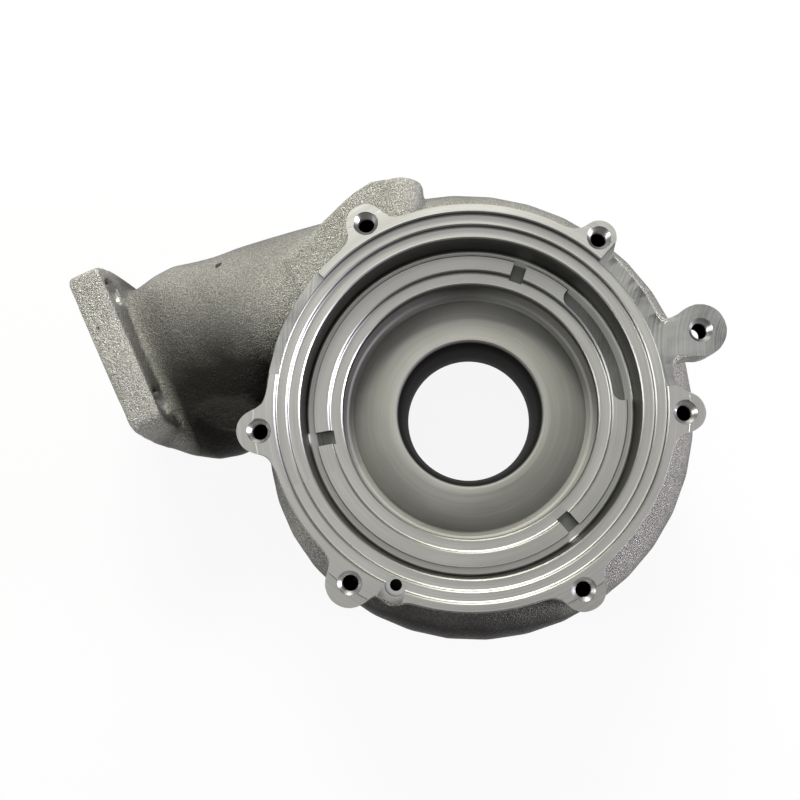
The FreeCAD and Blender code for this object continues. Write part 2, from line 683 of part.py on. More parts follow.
def build_housing():
    """The casting with its passages, then what is turned, milled and drilled in it."""
    cores = [feature("duct_core", duct(False)), feature("scroll_core", scroll(False))]
    hollow = cut("hollow_casting", casting(), cores)
    faced = cut("turned_casting", hollow, [throat_cutter(), pocket_cutter()])
    tools = [fuse("milling_tools", milled_cutters()), fuse("drilling_tools", drilled_cutters())]
    housing = cut("finished", faced, tools)
    housing.Label = "turbine_housing"
    return housing


def check(nodes):
    """Stop if any object failed or any sub-part has no sound shape."""
    for obj in doc.Objects:
        for state in ("Invalid", "Error"):
            if state in obj.State:
                raise RuntimeError("%s is in state %s" % (obj.Name, state))
    for node in nodes:
        if node.Shape.isNull() or not node.Shape.isValid():
            raise RuntimeError("%s has no sound shape" % node.Label)
        if len(node.Shape.Solids) != 1:
            raise RuntimeError("%s is %d solids" % (node.Label, len(node.Shape.Solids)))


housing = build_housing()
doc.recompute()
check([housing])
housing.Shape.exportStep("parts/%s.step" % housing.Label)
box = housing.Shape.BoundBox
print("turbine_housing volume %.0f mm3, box %.1f x %.1f x %.1f mm" % (
    housing.Shape.Volume, box.XLength, box.YLength, box.ZLength))
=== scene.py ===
"""The looks of a turbine housing: a shot-blasted iron casting with turned, milled and drilled faces.

The casting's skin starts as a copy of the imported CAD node. A solid blank fills the places that a
machine tool cuts, the whole is melted together so that every cast corner is soft, and then tools
modelled here cut the pocket, the steps, the recesses and the holes crisply out of it.
"""
import math

import bmesh
import bpy
from mathutils import Matrix, Vector


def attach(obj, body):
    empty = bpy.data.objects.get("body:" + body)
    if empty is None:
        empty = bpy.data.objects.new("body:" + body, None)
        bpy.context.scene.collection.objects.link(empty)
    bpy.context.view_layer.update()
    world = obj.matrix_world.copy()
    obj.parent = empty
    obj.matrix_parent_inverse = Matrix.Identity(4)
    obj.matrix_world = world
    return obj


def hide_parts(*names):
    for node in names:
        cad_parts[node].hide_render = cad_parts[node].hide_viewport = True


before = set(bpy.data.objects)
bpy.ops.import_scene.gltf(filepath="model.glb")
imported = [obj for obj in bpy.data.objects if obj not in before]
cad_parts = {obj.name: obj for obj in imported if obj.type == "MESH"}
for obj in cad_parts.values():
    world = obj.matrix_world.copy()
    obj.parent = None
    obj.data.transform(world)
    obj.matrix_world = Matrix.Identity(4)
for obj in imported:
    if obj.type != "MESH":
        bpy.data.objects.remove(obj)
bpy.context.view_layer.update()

bl_info = {
    "name": "Turbine housing",
    "version": (1, 0, 0),
    "blender": (4, 5, 0),
    "location": "3D View > Sidebar > Housing",
    "description": "Builds a machined cast iron turbine housing, its finishes and its studio",
    "category": "Object",
}

MM = 0.001
NODE = "turbine_housing"

# Material slots of the housing, in order
CAST, TURNED, MILLED, DRILLED = range(4)

# Angle of each of the six face holes, in degrees from +X, and the radius of its boss in mm
FACE_HOLES = [(95.6, 8.4), (28.4, 7.5), (-26.3, 8.6), (-83.2, 9.2), (-148.7, 10.2), (162.6, 9.4)]

# Ends of the arc pocket in degrees, its ridge beside the seat, and its gap to the pocket's wall
WINDOW_ENDS = (-16.9, 23.1)
WINDOW_WALL = 0.7 * MM
WINDOW_GAP = 1 * MM

# Middles of the casting's two patches of painted shade: beside the duct, and on the scroll away from the duct
DUCT_SHADE_MIDDLE = (-0.106, 0.054, 0.056)
SCROLL_SHADE_MIDDLE = (-0.05, -0.09, 0.05)

# The inlet flange's holes: middle of the pattern along Y and Z, half pitches and radius
INLET_Y = 86.4 * MM
INLET_Z = 48 * MM
INLET_HALF_Y = 26.5 * MM
INLET_HALF_Z = 24.5 * MM
INLET_HOLE = 6 * MM

# The fitted camera, in pixels of the photograph
PHOTO_WIDTH = 800.0
FOCAL = 750.0
CENTRE_X = 452.655
CENTRE_Y = 468.432


def length(name, description, millimetres):
    """A property that holds a length."""
    return bpy.props.FloatProperty(name=name, description=description, default=millimetres * MM,
                                   min=0.0, subtype="DISTANCE", unit="LENGTH", precision=5)


def turn(name, description, degrees):
    """A property that holds an angle."""
    return bpy.props.FloatProperty(name=name, description=description, default=math.radians(degrees),
                                   subtype="ANGLE", unit="ROTATION")


def tint(name, description, red, green, blue):
    """A property that holds a colour."""
    return bpy.props.FloatVectorProperty(name=name, description=description, default=(red, green, blue),
                                         size=3, min=0.0, max=1.0, subtype="COLOR")


class HousingSizes(bpy.types.PropertyGroup):
    """Sizes of what is machined in the casting."""

    height: length("Height", "Outlet face to machined face", 90.0)
    turned_radius: length("Turned radius", "Outside of the turned face", 90.4)
    tip_drop: length("Tip drop", "Boss tips below the turned face", 0.45)
    bolt_circle: length("Bolt circle", "Radius on which the face holes lie", 88.85)
    tap_radius: length("Thread core radius", "Core radius of the threads", 3.4)
    thread_radius: length("Thread radius", "Outer radius of the threads", 4.0)
    thread_pitch: length("Thread pitch", "Rise of the thread in one turn", 1.25)
    tap_depth: length("Thread depth", "Depth of the threaded holes", 20.0)
    sink_face: length("Face countersink", "Countersink radius of the face holes", 5.2)
    sink_ear: length("Ear countersink", "Countersink radius of the ear hole", 5.0)
    ear_reach: length("Ear reach", "Ear hole from the axis", 101.4)
    ear_angle: turn("Ear angle", "Where the ear lies", -6.0)
    ear_drop: length("Ear drop", "The ear's face below the machined face", 2.3)
    step_one: length("First step radius", "First counterbore in the face", 81.6)
    step_one_depth: length("First step depth", "First land below the face", 2.6)
    step_two: length("Second step radius", "Second counterbore", 77.1)
    step_two_depth: length("Second step depth", "Second land below the face", 5.0)
    pocket: length("Pocket radius", "Deep pocket", 72.3)
    groove_depth: length("Groove depth", "Floor of the groove round the ledge", 21.0)
    ledge: length("Ledge radius", "Outside of the raised ledge", 68.5)
    ledge_bore: length("Ledge bore", "Inside of the raised ledge", 61.7)
    ledge_depth: length("Ledge depth", "Top of the ledge", 15.7)
    seat_depth: length("Seat depth", "Ring seat inside the ledge", 18.7)
    throat: length("Throat radius", "Lip where the scroll opens into the pocket", 56.4)
    lip: length("Lip thickness", "Metal between the seat and the scroll", 4.6)
    plate_depth: length("Plate depth", "Shroud plate at its outer edge", 33.4)
    plate_rise: length("Plate rise", "The plate stands this much higher at the bore", 5.4)
    bore_mouth: length("Bore mouth", "Radius where the bore starts", 33.9)
    bore: length("Bore radius", "Narrowest radius of the bore", 29.6)
    bore_depth: length("Bore depth", "Where the narrow stretch of the bore starts", 46.5)
    bore_length: length("Bore length", "Length of the narrow stretch", 12.0)
    outlet: length("Outlet radius", "Bore at the outlet face", 36.0)
    outlet_spigot: length("Outlet spigot", "Length of the straight bore at the outlet face", 8.0)
    edge_break: length("Edge break", "Chamfer on turned edges", 0.5)
    tool_radius: length("Tool radius", "Fillet in turned corners", 0.9)


class HousingFinish(bpy.types.PropertyGroup):
    """Colours of the casting and of its machined faces."""

    cast: tint("Cast iron", "Shot-blasted casting", 0.60, 0.59, 0.54)
    # Cast shade is painted shade. The casting's colour goes to it low down, on sides, beside the duct, on the
    # scroll, and in its pits.
    cast_shade_and_pits: tint("Cast shade", "Oxide in the hollows of the casting", 0.018, 0.016, 0.015)
    turned: tint("Turned face", "Freshly turned iron", 0.66, 0.655, 0.62)
    milled: tint("Milled face", "Milled iron", 0.60, 0.60, 0.58)
    drilled: tint("Drilled wall", "Threads and countersinks", 0.80, 0.79, 0.78)


def link(name, bm):
    """An object in the scene from a bmesh, which is freed."""
    mesh = bpy.data.meshes.new(name)
    bm.to_mesh(mesh)
    bm.free()
    obj = bpy.data.objects.new(name, mesh)
    bpy.context.scene.collection.objects.link(obj)
    return obj


def section(bm, corners, closed=False):
    """The wire of a half section. Each corner is a radius, a height and an optional round."""
    verts = [bm.verts.new((corner[0], 0.0, corner[1])) for corner in corners]
    edges = [bm.edges.new(pair) for pair in zip(verts, verts[1:])]
    if closed:
        edges.append(bm.edges.new((verts[-1], verts[0])))
    for vert, corner in zip(verts, corners):
        if len(corner) > 2:
            bmesh.ops.bevel(bm, geom=[vert], offset=corner[2], offset_type="OFFSET", affect="VERTICES",
                            segments=5, profile=0.5, material=-1)


def revolve(bm, steps):
    """Turns everything in a bmesh once round Z and closes it."""
    bmesh.ops.spin(bm, geom=bm.verts[:] + bm.edges[:], cent=(0, 0, 0), axis=(0, 0, 1), dvec=(0, 0, 0),
                   angle=2 * math.pi, steps=steps, use_merge=True, use_duplicate=False)
    bmesh.ops.remove_doubles(bm, verts=bm.verts, dist=1e-6)
    bmesh.ops.recalc_face_normals(bm, faces=bm.faces)


def turned_solid(name, corners, steps=256, closed=False):
    """A solid of revolution about Z."""
    bm = bmesh.new()
    section(bm, corners, closed)
    revolve(bm, steps)
    return link(name, bm)


def add_bar(bm, radius, low, high, place=(0.0, 0.0), segments=48):
    """Adds a round bar that stands on Z, at a place."""
    where = Matrix.Translation((place[0], place[1], (low + high) / 2))
    bmesh.ops.create_cone(bm, cap_ends=True, segments=segments, radius1=radius, radius2=radius,
                          depth=high - low, matrix=where)


def add_block(bm, low, high):
    """Adds an upright block between two corners."""
    size = [b - a for a, b in zip(low, high)]
    middle = [(a + b) / 2 for a, b in zip(low, high)]
    where = Matrix.Translation(middle) @ Matrix.Diagonal((*size, 1.0))
    bmesh.ops.create_cube(bm, size=1.0, matrix=where)


def polar(radius, angle):
    """X and Y of a point at a radius and an angle in radians."""
    return radius * math.cos(angle), radius * math.sin(angle)


def hole_places(sizes):
    """Place, height of the face and countersink of each threaded hole."""
    places = [(polar(sizes.bolt_circle, math.radians(angle)), sizes.height, sizes.sink_face)
              for angle, _ in FACE_HOLES]
    places.append((polar(sizes.ear_reach, sizes.ear_angle), sizes.height - sizes.ear_drop, sizes.sink_ear))
    return places


def blank(sizes):
    """Metal for the machine tools to cut: a turned plug, and bosses that stand proud of the face."""
    top = sizes.height + 2.4 * MM
    plug = turned_solid("blank_plug", [
        (0.0, -1.2 * MM),
        (sizes.outlet + 3 * MM, -1.2 * MM),
        (sizes.outlet + 3 * MM, sizes.height - sizes.plate_depth - 12 * MM),
        (sizes.throat + 0.8 * MM, sizes.height - sizes.plate_depth - 4 * MM),
        (sizes.throat + 0.8 * MM, sizes.height - sizes.groove_depth - 3 * MM),
        (sizes.pocket + 3 * MM, sizes.height - sizes.groove_depth - 1 * MM),
        (sizes.step_one + 2.6 * MM, sizes.height - 8 * MM),
        (sizes.step_one + 2.6 * MM, top),
        (0.0, top),
    ], steps=96)
    bm = bmesh.new()
    for angle, radius in FACE_HOLES:
        add_bar(bm, radius * MM, sizes.height - 18 * MM, top, polar(sizes.bolt_circle, math.radians(angle)))
    ear = polar(sizes.ear_reach, sizes.ear_angle)
    add_bar(bm, 11.2 * MM, sizes.height - 14 * MM, sizes.height - 0.6 * MM, ear)
    bosses = link("blank_bosses", bm)
    return [plug, bosses]


def joined(parts, name):
    """One object from several, with their meshes side by side."""
    bm = bmesh.new()
    for part in parts:
        bm.from_mesh(part.data)
    for part in parts:
        discard(part)
    return link(name, bm)


def discard(obj):
    """Removes an object and its mesh."""
    mesh = obj.data
    bpy.data.objects.remove(obj)
    bpy.data.meshes.remove(mesh)


def bake_modifiers(obj):
    """Replaces an object's mesh by what its modifiers make of it."""
    graph = bpy.context.evaluated_depsgraph_get()
    made = bpy.data.meshes.new_from_object(obj.evaluated_get(graph))
    old = obj.data
    obj.modifiers.clear()
    obj.data = made
    bpy.data.meshes.remove(old)


def merged_copy(node):
    """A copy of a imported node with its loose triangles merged."""
    bm = bmesh.new()
    bm.from_mesh(node.data)
    bmesh.ops.remove_doubles(bm, verts=bm.verts, dist=1e-6)
    return link("copy", bm)


def melt(obj, cell, passes, share):
    """Melts overlapping solids into one soft skin, and thins its triangles."""
    remesh = obj.modifiers.new("melt", "REMESH")
    remesh.mode = "VOXEL"
    remesh.voxel_size = cell
    bake_modifiers(obj)
    smooth = obj.modifiers.new("soften", "SMOOTH")
    smooth.factor = 0.5
    smooth.iterations = passes
    thin = obj.modifiers.new("thin", "DECIMATE")
    thin.ratio = share
    bake_modifiers(obj)


def turning_tool(sizes):
    """Everything that is turned on the axis: steps, pocket, groove, ledge, throat, plate and bore."""
    face = sizes.height
    cut = sizes.edge_break
    nose = sizes.tool_radius
    past = 4 * MM
    land_one = face - sizes.step_one_depth
    land_two = face - sizes.step_two_depth
    groove = face - sizes.groove_depth
    ledge_top = face - sizes.ledge_depth
    seat = face - sizes.seat_depth
    plate = face - sizes.plate_depth
    plate_top = plate + sizes.plate_rise
    return turned_solid("turning_tool", [
        (0.0, face + past),
        (sizes.step_one + cut + past, face + past),
        (sizes.step_one, face - cut),
        (sizes.step_one, land_one, nose),
        (sizes.step_two + cut, land_one),
        (sizes.step_two, land_one - cut),
        (sizes.step_two, land_two, nose),
        (sizes.pocket + cut, land_two),
        (sizes.pocket, land_two - cut),
        (sizes.pocket, groove, nose * 1.5),
        (sizes.ledge, groove),
        (sizes.ledge, ledge_top - cut),
        (sizes.ledge - cut, ledge_top),
        (sizes.ledge_bore + cut, ledge_top),
        (sizes.ledge_bore, ledge_top - cut),
        (sizes.ledge_bore, seat, nose),
        (sizes.throat + cut, seat),
        (sizes.throat, seat - cut),
        (sizes.throat, seat - sizes.lip),
        (sizes.throat + 3 * MM, seat - sizes.lip - 0.4 * MM),
        (sizes.throat + 3 * MM, plate + 0.1 * MM),
        (sizes.throat, plate),
        (sizes.throat - 1 * MM, plate - 1 * MM),
        (sizes.throat - 3 * MM, plate - 1 * MM),
        (sizes.throat - 4 * MM, plate),
        (sizes.bore_mouth + 1.5 * MM, plate_top, 1.6 * MM),
        (sizes.bore_mouth - 0.4 * MM, plate_top, 2.4 * MM),
        (sizes.bore + 1.6 * MM, plate_top - 4.5 * MM, 3.0 * MM),
        (sizes.bore, face - sizes.bore_depth),
        (sizes.bore, face - sizes.bore_depth - sizes.bore_length),
        (sizes.outlet - 1 * MM, sizes.outlet_spigot + 1 * MM),
        (sizes.outlet, sizes.outlet_spigot),
        (sizes.outlet, cut),
        (sizes.outlet + cut + 3 * MM, -3 * MM),
        (0.0, -3 * MM),
    ])


def facing_tools(sizes):
    """The cutters that face the rim, the boss tips, the ear, the outlet and the inlet flange."""
    face = sizes.height
    high = face + 12 * MM
    rim = turned_solid("facing_tool", [
        (0.0, face), (sizes.turned_radius, face), (sizes.turned_radius + 0.4 * MM, face - sizes.tip_drop),
        (0.18, face - sizes.tip_drop), (0.18, high), (0.0, high)])
    bm = bmesh.new()
    add_block(bm, (-0.2, -0.2, -0.02), (0.2, 0.2, 0.0))
    add_block(bm, (-0.16, -0.1, 0.001), (-0.1358, 0.2, 0.12))
    ends = link("end_tool", bm)
    return [rim, ends]


def sector_tool(name, inner, outer, start, end, low, high):
    """A slice of a ring between two angles in degrees, swept by one spin."""
    bm = bmesh.new()
    verts = [bm.verts.new((*polar(radius, math.radians(start)), height))
             for radius, height in ((inner, low), (outer, low), (outer, high), (inner, high))]
    bm.faces.new(verts)
    steps = max(4, int((end - start) / 1.5))
    bmesh.ops.spin(bm, geom=bm.faces[:] + bm.edges[:] + bm.verts[:], cent=(0, 0, 0), axis=(0, 0, 1),
                   dvec=(0, 0, 0), angle=math.radians(end - start), steps=steps, use_duplicate=False)
    bmesh.ops.recalc_face_normals(bm, faces=bm.faces)
    return link(name, bm)


def milling_tools(sizes):
    """The two recesses in the rim, the arc pocket in the ledge and the three radial slots."""
    face = sizes.height
    high = face + 12 * MM
    floor = face - sizes.groove_depth + 0.3 * MM
    top = face - sizes.ledge_depth + 2 * MM
    inner = sizes.ledge_bore + WINDOW_WALL
    outer = sizes.pocket - WINDOW_GAP
    tools = [
        sector_tool("ear_recess_tool", sizes.step_one - 1.5 * MM, 0.17, -18.9, 24.3, face - 2.3 * MM, high),
        sector_tool("duct_recess_tool", sizes.step_one - 0.5 * MM, sizes.turned_radius + 4 * MM,
                    114.6, 146.6, face - 1.4 * MM, high),
        sector_tool("window_tool", inner, outer, *WINDOW_ENDS, floor, top),
    ]
    middle = (sizes.ledge_bore + WINDOW_WALL + sizes.pocket - WINDOW_GAP) / 2
    half = (sizes.pocket - WINDOW_GAP - sizes.ledge_bore - WINDOW_WALL) / 2
    for number, angle in enumerate(WINDOW_ENDS, start=1):
        bm = bmesh.new()
        add_bar(bm, half, floor, top, polar(middle, math.radians(angle)), segments=40)
        tools.append(link("window_end_tool_%d" % number, bm))
    bm = bmesh.new()
    for number in range(3):
        spin = Matrix.Rotation(math.radians(46.6 + 120 * number), 4, "Z")
        inner = sizes.ledge_bore - 1.2 * MM
        outer = sizes.pocket - 1.5 * MM
        size = Matrix.Diagonal((outer - inner, 6 * MM, top - floor, 1.0))
        where = spin @ Matrix.Translation(((outer + inner) / 2, 0.0, (top + floor) / 2)) @ size
        bmesh.ops.create_cube(bm, size=1.0, matrix=where)
    tools.append(link("slot_tool", bm))
    return tools


def thread_tool(sizes, number, place, top, sink):
    """A tap: a true helix with pointed ridges, with a countersink above it and a drill point below."""
    bm = bmesh.new()
    pitch = sizes.thread_pitch
    turns = int(sizes.tap_depth / pitch) + 2
    start = top - sizes.tap_depth - pitch
    low = bm.verts.new((sizes.tap_radius, 0.0, start))
    crest = bm.verts.new((sizes.thread_radius, 0.0, start + pitch / 2))
    high = bm.verts.new((sizes.tap_radius, 0.0, start + pitch))
    edges = [bm.edges.new((low, crest)), bm.edges.new((crest, high))]
    round_steps = 32
    bmesh.ops.spin(bm, geom=[low, crest, high] + edges, cent=(0, 0, 0), axis=(0, 0, 1),
                   dvec=(0, 0, pitch / round_steps), angle=2 * math.pi * turns,
                   steps=round_steps * turns, use_duplicate=False)
    bmesh.ops.remove_doubles(bm, verts=bm.verts, dist=2e-6)
    for height, outwards in ((top - sizes.tap_depth, -1), (top - sink + sizes.tap_radius, 1)):
        done = bmesh.ops.bisect_plane(bm, geom=bm.verts[:] + bm.edges[:] + bm.faces[:], dist=1e-7,
                                      plane_co=(0, 0, height), plane_no=(0, 0, outwards), clear_outer=True)
        ring = [item for item in done["geom_cut"] if isinstance(item, bmesh.types.BMEdge)]
        bmesh.ops.edgeloop_fill(bm, edges=ring)
    bmesh.ops.recalc_face_normals(bm, faces=bm.faces)
    bmesh.ops.translate(bm, verts=bm.verts, vec=(place[0], place[1], 0))
    tap = link("tap_tool_%d" % number, bm)
    core = turned_solid("sink_tool_%d" % number, [
        (0.0, top + 2 * MM),
        (sink + 2 * MM, top + 2 * MM),
        (sizes.tap_radius, top - sink + sizes.tap_radius - 0.2 * MM),
        (sizes.tap_radius - 0.3 * MM, top - sink + sizes.tap_radius - 0.3 * MM),
        (sizes.tap_radius - 0.3 * MM, top - sizes.tap_depth - 0.2 * MM),
        (0.0, top - sizes.tap_depth - 2 * MM),
    ], steps=48)
    core.data.transform(Matrix.Translation((place[0], place[1], 0)))
    return [tap, core]


def drilling_tools(sizes):
    """Taps and countersinks, the dowel hole and the flange holes."""
    tools = []
    for number, (place, top, sink) in enumerate(hole_places(sizes), start=1):
        tools += thread_tool(sizes, number, place, top, sink)
    bm = bmesh.new()
    land = sizes.height - sizes.step_one_depth
    dowel = polar(80.5 * MM, math.radians(222.8))
    add_bar(bm, 2.5 * MM, land - 12 * MM, land + 3 * MM, dowel)
    tools.append(link("dowel_tool", bm))
    bm = bmesh.new()
    add_bar(bm, 4.5 * MM, land, land + 8 * MM, dowel)
    tools.append(link("dowel_spot_tool", bm))
    bm = bmesh.new()
    for side in (-1, 1):
        for level in (-1, 1):
            middle = (-0.13, INLET_Y + side * INLET_HALF_Y, INLET_Z + level * INLET_HALF_Z)
            where = Matrix.Translation(middle) @ Matrix.Rotation(math.pi / 2, 4, "Y")
            bmesh.ops.create_cone(bm, cap_ends=True, segments=48, radius1=INLET_HOLE, radius2=INLET_HOLE,
                                  depth=0.02, matrix=where)
    tools.append(link("flange_drill", bm))
    return tools


def cut_with(obj, tools, slot):
    """Cuts tools out of an object. The cut faces take the tools' material slot."""
    for tool in tools:
        for _ in range(DRILLED + 1):
            tool.data.materials.append(None)
        for number, material in enumerate(obj.data.materials):
            tool.data.materials[number] = material
        tool.data.polygons.foreach_set("material_index", [slot] * len(tool.data.polygons))
        boolean = obj.modifiers.new(tool.name, "BOOLEAN")
        boolean.operation = "DIFFERENCE"
        boolean.solver = "MANIFOLD"
        boolean.object = tool
        bake_modifiers(obj)
        discard(tool)


class Number:
    """A value in a material's nodes, which can be used in sums."""

    def __init__(self, recipe, socket):
        self.recipe = recipe
        self.socket = socket

    def math(self, operation, *others):
        """This value and others through one Math node."""
        return self.recipe.number("ShaderNodeMath", {"operation": operation}, [self, *others])

    def __add__(self, other):
        return self.math("ADD", other)

    def __sub__(self, other):
        return self.math("SUBTRACT", other)

    def __mul__(self, other):
        return self.math("MULTIPLY", other)

    def __pow__(self, other):
        return self.math("POWER", other)

    def __rsub__(self, other):
        return self.recipe.number("ShaderNodeMath", {"operation": "SUBTRACT"}, [other, self])

    __radd__ = __add__

    def between(self, low, high):
        """0 below low, 1 above high, and an even ramp between them."""
        settings = {"interpolation_type": "SMOOTHSTEP"}
        return self.recipe.number("ShaderNodeMapRange", settings, [self, low, high])


class Recipe:
    """A material in the making."""

    def __init__(self, name, metallic, roughness):
        self.material = bpy.data.materials.new(name)
        self.material.use_nodes = True
        self.tree = self.material.node_tree
        self.shader = self.tree.nodes["Principled BSDF"]
        self.shader.inputs["Metallic"].default_value = metallic
        self.shader.inputs["Roughness"].default_value = roughness
        coordinates = self.node("ShaderNodeTexCoord")
        self.place = coordinates.outputs["Object"]
        split = self.node("ShaderNodeSeparateXYZ", {}, {0: self.place})
        self.x, self.y, self.z = [Number(self, out) for out in split.outputs]
        normal = self.node("ShaderNodeSeparateXYZ", {}, {0: coordinates.outputs["Normal"]})
        self.rise = Number(self, normal.outputs[2]).math("ABSOLUTE")

    def node(self, kind, settings=None, sockets=None):
        """Makes one node, with its settings first and then its sockets' values or links."""
        made = self.tree.nodes.new(kind)
        for key, value in (settings or {}).items():
            setattr(made, key, value)
        for key, value in (sockets or {}).items():
            value = value.socket if isinstance(value, Number) else value
            if isinstance(value, bpy.types.NodeSocket):
                self.tree.links.new(value, made.inputs[key])
            else:
                made.inputs[key].default_value = value
        return made

    def number(self, kind, settings, values):
        """The first output of a node whose sockets are filled in order."""
        return Number(self, self.node(kind, settings, dict(enumerate(values))).outputs[0])

    def noise(self, scale, detail=2.0, roughness=0.5, place=None):
        """Noise, with its scale in features per metre."""
        made = self.node("ShaderNodeTexNoise", {}, {
            "Vector": place or self.place, "Scale": scale, "Detail": detail, "Roughness": roughness})
        return Number(self, made.outputs["Fac"])

    def point(self, x, y, z=0.0):
        """A place from three values."""
        return self.node("ShaderNodeCombineXYZ", {}, {0: x, 1: y, 2: z}).outputs[0]

    def mix(self, share, first, second):
        """A colour between two others."""
        made = self.node("ShaderNodeMix", {"data_type": "RGBA"}, {
            0: share, 6: (*first, 1.0), 7: (*second, 1.0)})
        return made.outputs[2]

    def feed(self, name, value):
        """Links a value or a colour to the shader."""
        self.tree.links.new(value.socket if isinstance(value, Number) else value, self.shader.inputs[name])

    def bump(self, height, distance, strength=1.0):
        """Feeds a height in metres to the shader's normal."""
        made = self.node("ShaderNodeBump", {}, {"Height": height, "Distance": distance, "Strength": strength})
        self.feed("Normal", made.outputs[0])

    def radius(self):
        """Distance from the Z axis."""
        return (self.x * self.x + self.y * self.y) ** 0.5

    def distance(self, x, y, z):
        """Distance from a place."""
        made = self.node("ShaderNodeVectorMath", {"operation": "DISTANCE"}, {0: self.place, 1: (x, y, z)})
        return Number(self, made.outputs["Value"])

    def upright(self, steep=0.25, flat=0.65):
        """1 on upright walls, 0 on level faces."""
        return 1.0 - self.rise.between(steep, flat)

    def angle(self):
        """Angle round the Z axis, in radians."""
        return self.number("ShaderNodeMath", {"operation": "ARCTAN2"}, [self.y, self.x])


def cast_finish(colours):
    """Shot-blasted cast iron: bright grain and pits, with painted shade low down, on sides and in two places.
    """
    made = Recipe("cast_iron", 0.9, 0.4)
    grain = made.noise(1700.0, 2.0, 0.6)
    coarse = made.noise(520.0, 1.0, 0.5)
    blotch = made.noise(38.0, 3.0, 0.55)
    # Painted shade: the colour goes towards the cast shade low down, on upright sides, beside the duct and on
    # the scroll away from the duct; pits and blotches are the iron's own.
    low = 1.0 - made.z.between(0.05, 0.076)
    behind_flange = made.x.between(-0.124, -0.114)
    duct_shade = (1.0 - made.distance(*DUCT_SHADE_MIDDLE).between(0.012, 0.066)) * behind_flange
    scroll_shade = 1.0 - made.distance(*SCROLL_SHADE_MIDDLE).between(0.03, 0.085)
    pits = made.noise(150.0, 1.0, 0.5).between(0.77, 0.80)
    shade = low * 0.55 + made.upright(0.1, 0.85) * 0.35 + duct_shade * 0.8 + scroll_shade * 0.65
    shade = (shade + blotch.between(0.35, 0.75) * 0.12 + pits * 0.6).math("MINIMUM", 0.97)
    sparkle = 0.5 + grain.between(0.36, 0.66) * 0.5
    colour = made.mix((1.0 - shade) * sparkle, tuple(colours.cast_shade_and_pits), tuple(colours.cast))
    made.feed("Base Color", colour)
    made.feed("Roughness", 0.46 - grain.between(0.5, 0.7) * 0.14 + blotch * 0.06)
    made.bump(grain + coarse * 0.5 - pits, 0.0009, 1.0)
    return made.material


def turned_finish(colours):
    """Turned iron: rings of the tool round the axis, with painted shade on the walls and painted black down
    the bore.
    """
    made = Recipe("turned_iron", 1.0, 0.32)
    along = made.point(made.radius() * 1000.0, made.z * 1000.0, made.angle() * 0.5)
    rings = made.noise(1.6, 2.0, 0.7, along)
    wide = made.noise(0.22, 2.0, 0.6, along)
    smear = made.noise(30.0, 3.0, 0.6)
    bright = 0.72 + (rings * 0.5 + wide * 0.3 + smear * 0.3).between(0.3, 0.85) * 0.28
    # Painted shade: upright walls are dimmed, and the bore below the plate is painted nearly black.
    bore = (1.0 - made.z.between(0.06, 0.0618)) * (1.0 - made.radius().between(0.0345, 0.0356))
    painted_shade = (made.upright() * 0.7).math("MAXIMUM", bore)
    colour = made.mix(bright * (1.0 - painted_shade), tuple(0.04 * c for c in colours.turned), tuple(colours.turned))
    made.feed("Base Color", colour)
    deep = 1.0 - made.z.between(0.062, 0.068)
    made.feed("Roughness", 0.3 + rings * 0.14 + smear * 0.05 + deep * 0.42)
    made.bump(rings, 0.00005, 0.7)
    return made.material


def milled_finish(colours):
    """Milled iron: arcs left by the cutter, duller in the pocket, with painted shade on the walls and in the
    pocket.
    """
    made = Recipe("milled_iron", 1.0, 0.3)
    x = made.x - 0.128
    y = made.y + 0.03
    sweep = (x * x + y * y) ** 0.5
    marks = made.noise(1.1, 2.0, 0.6, made.point(sweep * 1000.0, 0.0))
    smear = made.noise(60.0, 3.0, 0.6)
    # Painted shade: upright walls and the floors deep in the pocket are dimmed; those floors are also
    # rougher.
    low = 1.0 - made.z.between(0.078, 0.082)
    painted_shade = (made.upright() * 0.8).math("MAXIMUM", low * 0.6)
    bright = (marks * 0.5 + smear * 0.5).between(0.2, 0.7)
    colour = made.mix(bright * (1.0 - painted_shade), tuple(0.2 * c for c in colours.milled), tuple(colours.milled))
    made.feed("Base Color", colour)
    made.feed("Roughness", 0.28 + marks * 0.14 + low * 0.2)
    made.bump(marks, 0.00004, 0.6)
    return made.material


def drilled_finish(colours):
    """Drilled, tapped and countersunk iron: bright cones, with painted shade on the walls and black painted
    down the holes.
    """
    made = Recipe("drilled_iron", 1.0, 0.3)
    rings = made.noise(1.2, 2.0, 0.6, made.point(made.z * 1000.0, 0.0))
    # Painted shade: the walls are dimmed, and everything drilled below the countersinks is painted black,
    # except the inlet flange's holes.
    deep = (1.0 - made.z.between(0.0835, 0.0852)) * made.x.between(-0.118, -0.112)
    bright = (0.55 + rings * 0.45) * (1.0 - (made.upright(0.25, 0.6) * 0.9).math("MAXIMUM", deep))
    made.feed("Base Color", made.mix(bright, (0.01, 0.01, 0.01), tuple(colours.drilled)))
    made.feed("Roughness", 0.24 + rings * 0.15)
    made.bump(rings, 0.00008, 0.7)
    return made.material


def shade_by_angle(obj, degrees):
    """Smooth shading that stays sharp across edges steeper than an angle."""
    mesh = obj.data
    mesh.polygons.foreach_set("use_smooth", [True] * len(mesh.polygons))
    bm = bmesh.new()
    bm.from_mesh(mesh)
    for edge in bm.edges:
        edge.smooth = len(edge.link_faces) == 2 and edge.calc_face_angle(0.0) < math.radians(degrees)
    bm.to_mesh(mesh)
    bm.free()


